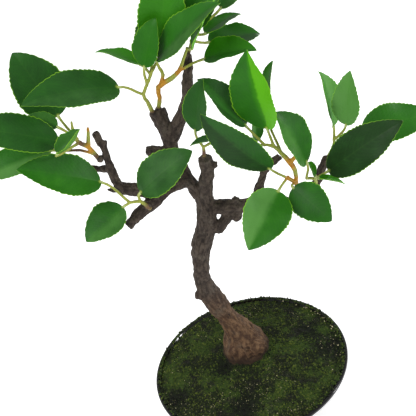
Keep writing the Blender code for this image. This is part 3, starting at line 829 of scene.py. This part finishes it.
# The foot is darkened where it meets the moss: a painted contact shade.
foot_shade = 1.0 - bark.ease(height + 9 * MM * (cloud - 0.5), FOOT_SHADE_FROM, FOOT_SHADE_TO)
wood = bark.mix(foot_shade * 0.75, wood, tint(34, 26, 20))
bark_material = bark.serve(
    Base_Color=wood,
    Roughness=0.74 + 0.2 * grain,
    Specular_IOR_Level=0.3,
    Normal=bark.bump(0.6 * grain + 0.4 * bark.noise(0.5 * MM, 3.0), 1.0 * MM))
add_piece(trunk_mesh, bark_material, "bark", "trunk")
print("bark finish:", len(bark.tree.nodes), "nodes")

# %% [markdown]
# ## The frame of a leaf
# Each leaf's solid is a thin arched, folded plate on eight cross rows of six corners. Its own frame
# can be read back from them: the middle of the wide end row is where the stalk joins, the narrow end
# row is the tip, and the edges rise on the leaf's upper side. From that come length, width, fold and
# arch, so the fine leaf lies exactly where the plain one is.

# %% Read a leaf's frame back from its solid
LEAF_ROWS = 8


def leaf_frame(node):
    """Base point, axes (along, left, up), length, width, edge rise and arch of a leaf solid."""
    points = np.unique(np.round(read_points(merged_copy(node)), 7), axis=0)
    spread_axes = np.linalg.svd(points - points.mean(0))[2]
    rows = points[np.argsort(points @ spread_axes[0])].reshape(LEAF_ROWS, -1, 3)
    sides = np.stack([row[np.argsort(row @ spread_axes[1])] for row in rows])
    left, middle, right = (sides[:, k:k + 2].mean(1) for k in (0, 2, 4))
    widths = np.linalg.norm(left - right, axis=1)
    if widths[0] < widths[-1]:
        left, middle, right, widths = left[::-1], middle[::-1], right[::-1], widths[::-1]
    length = np.linalg.norm(middle[-1] - middle[0])
    along = (middle[-1] - middle[0]) / length
    rise = ((left + right) / 2 - middle).sum(0)
    rise = rise - along * (rise @ along)
    up = rise / np.linalg.norm(rise)
    side = np.cross(up, along)
    widest = widths.argmax()
    share = (middle - middle[0]) @ along / length
    edge_rise = (((left + right) / 2 - middle)[widest] @ up) / (widths[widest] / 2)
    arch = ((middle - middle[0]) @ up)[3] / (share[3] * (1 - share[3])) / length
    return middle[0], np.stack([along, side, up]), length, widths[widest], edge_rise, arch


print("leaf_27: length and width", [round(size / MM, 1) for size in leaf_frame("leaf_27")[2:4]], "mm")

# %% [markdown]
# ## Twigs
# Each twig is one moulded piece with its leaf stalks: yellow-green stalks, an olive-brown root in its
# socket, and orange or purple-brown nodes where it branches. The same skin, twice as fine, melts the
# facets and the joints of the solid together. Each node is a soft spot: exp(-(distance / reach)^2).

# %% Mix the twig finish
stalk = Recipe("twig_skin")
orange_part, brown_part, pale_part = (stalk.attribute(name) for name in ("orange", "brown", "pale"))
patchy = stalk.noise(4 * MM, 3.0)
skin_green = stalk.mix(patchy, tint(116, 130, 44), tint(166, 170, 76))
orange = stalk.mix(patchy, tint(150, 92, 14), tint(196, 148, 40))
brown = stalk.mix(patchy, tint(70, 42, 36), tint(110, 78, 50))
stalk_colour = stalk.mix(stalk.ease(orange_part, 0.15, 0.85), skin_green, orange)
stalk_colour = stalk.mix(stalk.ease(brown_part, 0.15, 0.85), stalk_colour, brown)
stalk_colour = stalk.mix(stalk.ease(pale_part, 0.2, 0.9) * 0.8, stalk_colour, tint(176, 190, 124))
stalk_material = stalk.serve(Base_Color=stalk_colour, Roughness=0.42 + 0.2 * patchy,
                             Specular_IOR_Level=0.3, Subsurface_Weight=0.1,
                             Subsurface_Radius=(1.5 * MM, 1.2 * MM, 0.4 * MM),
                             Normal=stalk.bump(stalk.noise(0.8 * MM, 3.0), 0.15 * MM))
print("twig finish:", len(stalk.tree.nodes), "nodes")

# %% [markdown]
# ## Nodes on the twigs
# The list gives each node's middle in millimetres and its reach. The roots are brown for a few
# millimetres on every twig, and each stalk ends pale and a little flared where its blade begins.

# %% Wrap and paint the twigs
TWIG_VOXEL, TWIG_ROUNDS = 0.24 * MM, 5
LUMP, LUMP_SIZE, SWELL = 0.10 * MM, 2.2 * MM, 0.04 * MM
FLARE = 0.35 * MM
ROOT_REACH = 5.0
END_REACH = 3.2
ORANGE_NODES = [(-59, -14, 254, 5.0), (-55, -15, 267, 3.0), (58, -15, 208, 7.0), (64, -17, 212, 5.0),
                (60, -9, 192, 6.0), (-9, 10, 267, 7.0), (-6, 7, 274, 6.0), (6, -2, 281, 4.0),
                (55, -13, 197, 3.5)]
BROWN_NODES = [(-62, -17, 260, 4.5), (-66, -14, 254, 6.0), (-72, -12, 256, 5.0), (60, -6, 184, 6.0),
               (7, -6, 227, 4.0), (-57, -12, 247, 3.0)]


def soft_spot(points, x, y, z, reach):
    """exp(-(distance / reach)^2) of each point, with the spot's middle and reach in millimetres."""
    return np.exp(-(np.linalg.norm(points - np.array([x, y, z]) * MM, axis=1) / (reach * MM)) ** 2)


def spots_of(points, nodes):
    """The greatest of the soft spots at each point."""
    return np.max([soft_spot(points, *node) for node in nodes], axis=0)


leaf_nodes = [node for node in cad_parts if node.startswith("leaf_")]
stalk_ends = [(*leaf_frame(node)[0] / MM, END_REACH) for node in leaf_nodes]
for name, root in TWIG_ROOTS.items():
    twig_mesh = fine_skin(name + "_skin", name, TWIG_VOXEL, TWIG_ROUNDS)
    skin, outward = read_points(twig_mesh), read_normals(twig_mesh)
    pale_ends = spots_of(skin, stalk_ends)
    lift = LUMP * fractal(skin, LUMP_SIZE, 2, 61) + SWELL + FLARE * pale_ends ** 2
    move_points(twig_mesh, skin + outward * lift[:, None])
    paint(twig_mesh, "pale", pale_ends)
    paint(twig_mesh, "orange", spots_of(skin, ORANGE_NODES))
    paint(twig_mesh, "brown", spots_of(skin, BROWN_NODES + [(*root, ROOT_REACH)]) * 0.9)
    add_piece(twig_mesh, stalk_material, "twig_green", name)
    print(name, len(twig_mesh.polygons), "faces")

# %% [markdown]
# ## The outline of a leaf
# A leaf blade is a closed surface of two parameters: u runs from stalk to tip, and a loop of v runs
# across the upper side and back under it. The outline is u^0.52 (1-u)^0.80: round at the stalk and
# pointed at the tip, with blunt uneven teeth that lean forward.

# %% Draw the toothed outline
TOOTH_PITCH = 3.1 * MM
TOOTH_DEPTH = 0.74 * MM
TOOTH_LEAN = 0.8
ROUND_BASE, SHARP_TIP = 0.52, 0.80
WIDEST = ROUND_BASE / (ROUND_BASE + SHARP_TIP)


def end_fade(u):
    """1 along the blade, falling to 0 in its first eighth and its last sixth."""
    return np.clip(8 * u, 0, 1) * np.clip(6 * (1 - u), 0, 1)


def half_width(u, v, width, teeth, wave_turn, rng):
    """Half the width: the outline, brought to 1 where it is widest, times half the leaf's width, plus
    teeth. A tooth rises as a quarter sine and drops straight. The count of teeth gains a slow sine,
    which makes their pitch uneven, and each tooth has its own size."""
    outline = u ** ROUND_BASE * (1 - u) ** SHARP_TIP
    outline = outline / (WIDEST ** ROUND_BASE * (1 - WIDEST) ** SHARP_TIP)
    left = v > 0
    count = u * teeth + 0.5 * left + 0.5 * np.sin(2 * math.pi * 1.7 * u + wave_turn + 2.0 * left) ** 2
    ramp = count % 1.0
    tooth = np.where(ramp < TOOTH_LEAN, np.sin(0.5 * math.pi * ramp / TOOTH_LEAN),
                     (1 - ramp) / (1 - TOOTH_LEAN))
    sizes = rng.uniform(0, 1, (teeth + 2, 2))
    tooth = tooth * (0.45 + 0.55 * sizes[count.astype(int), left.astype(int)])
    half = 0.5 * width * outline + TOOTH_DEPTH * (tooth - 0.6) * end_fade(u)
    return np.maximum(half, 0.45 * MM * (1 - u) + 0.08 * MM)


print("a blade is widest", round(WIDEST, 2), "of the way from its stalk to its tip")

# %% [markdown]
# ## The lie of a leaf
# Seen from its tip a blade is a shallow curved V, and seen from the side it is an arch. No two lie
# alike, so each draws its own twist, sideways bend and waves. Veins are furrows above and ribs below,
# and the blade is thickest where the stalk joins it.

# %% Fold, bend and thicken a blade
VEIN_COUNT = 8.0
VEIN_SWEEP = 0.34
VEIN_CURVE = 1.5
TIP_DROOP = 0.03
RIM_WAVE, BUCKLE = 0.05, 0.012
EDGE_THICK, MIDDLE_THICK, NECK_THICK = 0.09 * MM, 0.12 * MM, 0.28 * MM
MIDRIB_WIDTH, NECK_LENGTH = 0.45 * MM, 1.6 * MM


def draw_habit(rng):
    """One blade's own bend, turn and size of wave, twist, softness of fold and turn of buckle."""
    return SimpleNamespace(bend=rng.uniform(-1, 1), wave_turn=rng.uniform(0, 2 * math.pi),
                           wave_size=rng.uniform(0.4, 1.0), twist=rng.uniform(-0.22, 0.22),
                           softness=rng.uniform(1.35, 2.1), buckle=rng.uniform(0, 2 * math.pi))


def lie(u, v, half, length, edge_rise, arch, habit):
    """Height of the blade's middle layer: arch * length * u (1-u), plus a fold that rises with
    |v|^softness, a twist that grows along the leaf, two waves of the rim, and a drooping tip."""
    away = np.abs(v)
    fold = half * edge_rise * away ** habit.softness + habit.twist * (u - 0.3) * v * half
    turn = 2 * math.pi * 2.3 * u + habit.wave_turn + 1.3 * np.sign(v)
    wave = RIM_WAVE * half * habit.wave_size * away ** 2 * np.sin(turn)
    wave = wave + BUCKLE * length * away * np.sin(2 * math.pi * 1.2 * u + habit.buckle + 1.7 * v)
    droop = -TIP_DROOP * length * np.clip((u - 0.82) / 0.18, 0, 1) ** 2
    return arch * length * u * (1 - u) + fold + wave + droop


def thickness(u, v, half, length):
    """How far the upper side stands above the middle layer, and the underside below it: an even
    thickness, a neck exp(-(distance / length)^2) at the stalk, veins as a cosine to the fifth power,
    and a midrib exp(-(distance / width)^2)."""
    away = np.abs(v)
    vein = (0.5 + 0.5 * np.cos(2 * math.pi * VEIN_COUNT * (u - VEIN_SWEEP * away ** VEIN_CURVE))) ** 5
    vein = vein * np.clip(3 * away * half / MM, 0, 1) * (1 - away ** 6) * end_fade(u)
    midrib = np.exp(-(v * half / MIDRIB_WIDTH) ** 2)
    thick = EDGE_THICK + MIDDLE_THICK * (1 - away ** 2)
    thick = thick + NECK_THICK * np.exp(-(u * length / NECK_LENGTH) ** 2)
    above = thick - (0.04 * vein + 0.10 * midrib * (1 - u)) * MM
    below = thick + (0.06 * vein + (0.42 - 0.30 * u) * midrib) * MM * (1 - u ** 8)
    return above, below


print("veins on each half:", round(VEIN_COUNT), "swept forward by", VEIN_SWEEP, "of the length")

# %% [markdown]
# ## The blade as one closed skin
# The loop of v starts at the left edge, crosses the upper side to the right edge and comes back below.
# Its columns crowd towards the midrib and the edges, where the shape changes fastest. The two ends
# close on a point each, so the blade is sealed, and its base laps a little over the end of the stalk.

# %% Model one blade
ROWS_PER_TOOTH = 7
SIDE_BEND = 0.012
BASE_LAP, BASE_POINT, TIP_POINT = 0.7 * MM, 0.9 * MM, 0.15 * MM
HALF_LINE = np.array([0.03, 0.07, 0.13, 0.22, 0.32, 0.43, 0.54, 0.65, 0.75, 0.84, 0.91, 0.96, 0.99])
ACROSS = np.concatenate([[1.0], HALF_LINE[::-1], [0.0], -HALF_LINE,
                         [-1.0], -HALF_LINE[::-1], [0.0], HALF_LINE])
SIDE = np.sign(len(ACROSS) / 2 - np.arange(len(ACROSS)))
SIDE[0] = 0.0


def blade_mesh(name, node, rng):
    """x = along the leaf, y = v times half the width plus a bend, z = the lie plus the upper
    thickness or less the lower one."""
    base, axes, length, width, edge_rise, arch = leaf_frame(node)
    habit = draw_habit(rng)
    teeth = max(6, round(length / TOOTH_PITCH))
    rows = teeth * ROWS_PER_TOOTH + 1
    columns = len(ACROSS)
    u = np.linspace(0.0, 1.0, rows)[:, None]
    half = half_width(u, ACROSS, width, teeth, habit.wave_turn, rng)
    above, below = thickness(u, ACROSS, half, length)
    x = length * u - BASE_LAP * (1 - u) ** 8
    y = ACROSS * half * math.cos(math.asin(min(0.9, edge_rise)))
    y = y + SIDE_BEND * length * habit.bend * np.sin(math.pi * u)
    z = lie(u, ACROSS, half, length, edge_rise, arch, habit)
    z = z + np.where(SIDE > 0, above, np.where(SIDE < 0, -below, 0.0))
    local = np.stack(np.broadcast_arrays(x, y, z), -1)
    points = base + local.reshape(-1, 3) @ axes
    tip_rise = z[-1, columns // 4]
    stalk_end = base - axes[0] * BASE_POINT
    tip_end = base + axes[0] * (length + TIP_POINT) + axes[2] * tip_rise
    mesh = mesh_from(name, np.concatenate([points, [stalk_end, tip_end]]), ring_faces(rows, columns),
                     end_fans(rows, columns, rows * columns, rows * columns + 1))
    paint(mesh, "under", np.concatenate([np.tile(0.5 - 0.5 * SIDE, rows), [0.5, 0.5]]))
    flat = np.stack(np.broadcast_arrays(u, 0.5 + 0.5 * ACROSS), -1).reshape(-1, 2)
    return mesh, np.concatenate([flat, [[0.0, 0.5], [1.0, 0.5]]])


def lay_map(mesh, flat):
    """Give the mesh a UV map from one flat place for each point."""
    corner = np.empty(len(mesh.loops), np.int32)
    mesh.loops.foreach_get("vertex_index", corner)
    layer = mesh.uv_layers.new(name="blade")
    layer.data.foreach_set("uv", flat[corner].astype(np.float32).ravel())


print("columns round a blade:", len(ACROSS))

# %% [markdown]
# ## Leaf finish
# One material serves all the leaves. It reads the leaf's own map, so the veins and the pale toothed
# rim follow each blade, and two painted numbers for each half: how light its green is, partly the
# leaf's own green and partly painted light and shade, and how much pale painted sheen lies on it.

# %% Colour the leaves
leaf = Recipe("leaf_skin")
leaf_map = leaf.add("ShaderNodeUVMap", {"uv_map": "blade"})
leaf_u = leaf.add("ShaderNodeSeparateXYZ", sockets={0: leaf_map}, out="X")
leaf_v = leaf.add("ShaderNodeSeparateXYZ", sockets={0: leaf_map}, out="Y")
across = abs(2.0 * leaf_v - 1.0)
tone, bloom, under = (leaf.attribute(name) for name in ("tone", "bloom", "under"))
blotch = leaf.noise(11 * MM, 3.0)
fine = leaf.noise(0.8 * MM, 3.0, 0.6)
phase = (leaf_u - VEIN_SWEEP * across ** VEIN_CURVE) * VEIN_COUNT
vein = (0.5 + 0.5 * (phase * 2 * math.pi).math("COSINE")) ** 10.0
arcs = 0.5 + 0.5 * (phase * 4 * math.pi + 9.0 * (blotch - 0.5)).math("COSINE")
midrib = 1.0 - leaf.ease(across, 0.01, 0.06)
margin = leaf.ease(across + 0.03 * (fine - 0.5), 0.945, 0.985)
neck = 1.0 - leaf.ease(leaf_u + 0.05 * across, 0.01, 0.045)
# The blade runs from its darkest to its lightest green: partly the leaf's own tone, partly painted light
# and shade on each half.
shade = tone + 0.36 * (blotch - 0.5) + 0.03 * (arcs - 0.5)
blade = leaf.mix(leaf.ease(shade, 0.0, 0.28), tint(24, 54, 18), tint(32, 78, 24))
blade = leaf.mix(leaf.ease(shade, 0.22, 0.52), blade, tint(36, 98, 16))
blade = leaf.mix(leaf.ease(shade, 0.48, 0.78), blade, tint(46, 118, 8))
blade = leaf.mix(leaf.ease(shade, 0.78, 1.0), blade, tint(88, 166, 24))
blade = leaf.mix(vein * 0.006 + midrib * 0.020, blade, tint(120, 176, 70))
# A pale painted sheen, strongest on the halves that are given the most.
blade = leaf.mix(leaf.ease(bloom + 0.6 * (blotch - 0.5), 0.0, 1.0) * 0.30, blade, tint(132, 186, 104))
blade = leaf.mix(under * 0.40, blade, tint(116, 160, 72))
blade = leaf.mix(margin * 0.70, blade, tint(128, 184, 36))
blade = leaf.mix(neck, blade, tint(150, 168, 72))
leaf_material = leaf.serve(
    Base_Color=blade,
    Roughness=0.38 + 0.22 * under + 0.12 * blotch,
    Specular_IOR_Level=0.15,
    Normal=leaf.bump(0.25 * fine + 0.05 * arcs + 1.0 * blotch, 0.30 * MM))
print("leaf finish:", len(leaf.tree.nodes), "nodes")

# %% [markdown]
# ## All the leaves
# The list gives, from leaf_01 on and three to a line, each leaf's green, left half and right half seen
# from its upper side with the stalk nearest, from 0 for the darkest to 1 for the lightest, partly the
# leaf's own green and partly painted light and shade on that half, and then the painted sheen of each
# half.

# %% Make the leaves
DEEP, DARK, DUSKY, MID, LIGHTER, BRIGHT = 0.05, 0.25, 0.38, 0.5, 0.75, 1.0
BARE, FAINT, HAZY, MILKY, FROSTED = 0.0, 0.2, 0.4, 0.8, 1.3
LEAF_LOOKS = [
    (DARK, DARK, BARE, BARE), (DARK, DARK, FAINT, BARE), (DARK, DARK, BARE, BARE),
    (MID, MID, MILKY, BARE), (MID, DUSKY, BARE, BARE), (MID, MID, HAZY, BARE),
    (DARK, DUSKY, BARE, HAZY), (DUSKY, DUSKY, HAZY, BARE), (LIGHTER, LIGHTER, BARE, BARE),
    (MID, MID, BARE, BARE), (LIGHTER, LIGHTER, BARE, BARE), (MID, DARK, BARE, HAZY),
    (MID, MID, BARE, HAZY), (MID, MID, BARE, HAZY), (LIGHTER, MID, BARE, BARE),
    (MID, DARK, BARE, BARE), (LIGHTER, MID, BARE, BARE), (LIGHTER, BRIGHT, BARE, BARE),
    (DARK, DARK, BARE, BARE), (MID, DARK, BARE, BARE), (DARK, DARK, BARE, BARE),
    (MID, BRIGHT, BARE, BARE), (LIGHTER, MID, BARE, BARE), (DEEP, DARK, BARE, BARE),
    (LIGHTER, MID, HAZY, BARE), (MID, DUSKY, HAZY, BARE), (MID, MID, BARE, MILKY),
    (DUSKY, DUSKY, BARE, BARE), (LIGHTER, LIGHTER, BARE, BARE), (LIGHTER, LIGHTER, BARE, MILKY),
    (MID, MID, FROSTED, FROSTED), (DEEP, DEEP, BARE, BARE), (MID, MID, BARE, BARE),
    (DARK, DARK, FAINT, FAINT), (LIGHTER, LIGHTER, HAZY, BARE), (DARK, MID, BARE, BARE),
    (MID, DARK, BARE, HAZY), (DARK, MID, BARE, BARE), (MID, MID, HAZY, BARE)]
rng = np.random.default_rng(83)
faces = 0
for number, (left_tone_and_shade, right_tone_and_shade, left_bloom, right_bloom) in enumerate(LEAF_LOOKS, 1):
    mesh, flat = blade_mesh(f"leaf_blade_{number:02d}", f"leaf_{number:02d}", rng)
    lay_map(mesh, flat)
    leftness = np.clip(0.5 + (flat[:, 1] - 0.5) * 5.0, 0.0, 1.0)
    # Each half's number is partly the leaf's own green and partly painted light and shade, and its sheen
    # is painted.
    paint(mesh, "tone", right_tone_and_shade + (left_tone_and_shade - right_tone_and_shade) * leftness)
    paint(mesh, "bloom", right_bloom + (left_bloom - right_bloom) * leftness)
    add_piece(mesh, leaf_material, "leaf_green", f"leaf_{number:02d}")
    faces += len(mesh.polygons)
print("leaves:", len(LEAF_LOOKS), "faces:", faces)

# %% [markdown]
# ## Floor and light
# The tree stands on a plain pale floor. One large soft lamp above and to the left makes the shapes
# round, a second on the right and a small third one behind put bright lines on the glaze and the
# leaves, and an even sky fills the rest.

# %% Floor, lamps and sky
FLOOR_REACH = 6.0
TREE_MIDDLE = Vector((0.0, 0.0, 0.18))

pale = Recipe("pale_floor")
pale_material = pale.serve(Base_Color=tint(244, 244, 244), Roughness=0.9,
                           Emission_Color=(1.0, 1.0, 1.0, 1.0), Emission_Strength=0.60)
floor_mesh = bpy.data.meshes.new("floor")
corners = [(FLOOR_REACH * x, FLOOR_REACH * y, 0.0) for x, y in ((-1, -1), (1, -1), (1, 1), (-1, 1))]
floor_mesh.from_pydata(corners, [], [(0, 1, 2, 3)])
floor_mesh.materials.append(pale_material)
floor = bpy.data.objects.new("floor", floor_mesh)
bpy.context.scene.collection.objects.link(floor)


def soft_lamp(name, place, size, power):
    """A square lamp that faces the tree's middle."""
    data = bpy.data.lights.new(name, "AREA")
    data.size = size
    data.energy = power
    lamp = bpy.data.objects.new(name, data)
    bpy.context.scene.collection.objects.link(lamp)
    aim = TREE_MIDDLE - Vector(place)
    lamp.matrix_world = Matrix.Translation(place) @ aim.to_track_quat("-Z", "Y").to_matrix().to_4x4()


soft_lamp("key", (-0.7, -0.7, 1.3), 0.8, 12.0)
soft_lamp("side", (1.15, -0.22, 0.42), 0.20, 5.0)
soft_lamp("rear", (0.55, 1.05, 0.35), 0.12, 2.0)
sky = bpy.data.worlds.new("sky")
sky.use_nodes = True
sky.node_tree.nodes["Background"].inputs["Color"].default_value = (1.0, 1.0, 1.0, 1.0)
sky.node_tree.nodes["Background"].inputs["Strength"].default_value = 0.62
bpy.context.scene.world = sky
print("lamps:", len(bpy.data.lights))

# %% [markdown]
# ## Sizes
# The surface made here must stay the size of the designed part.
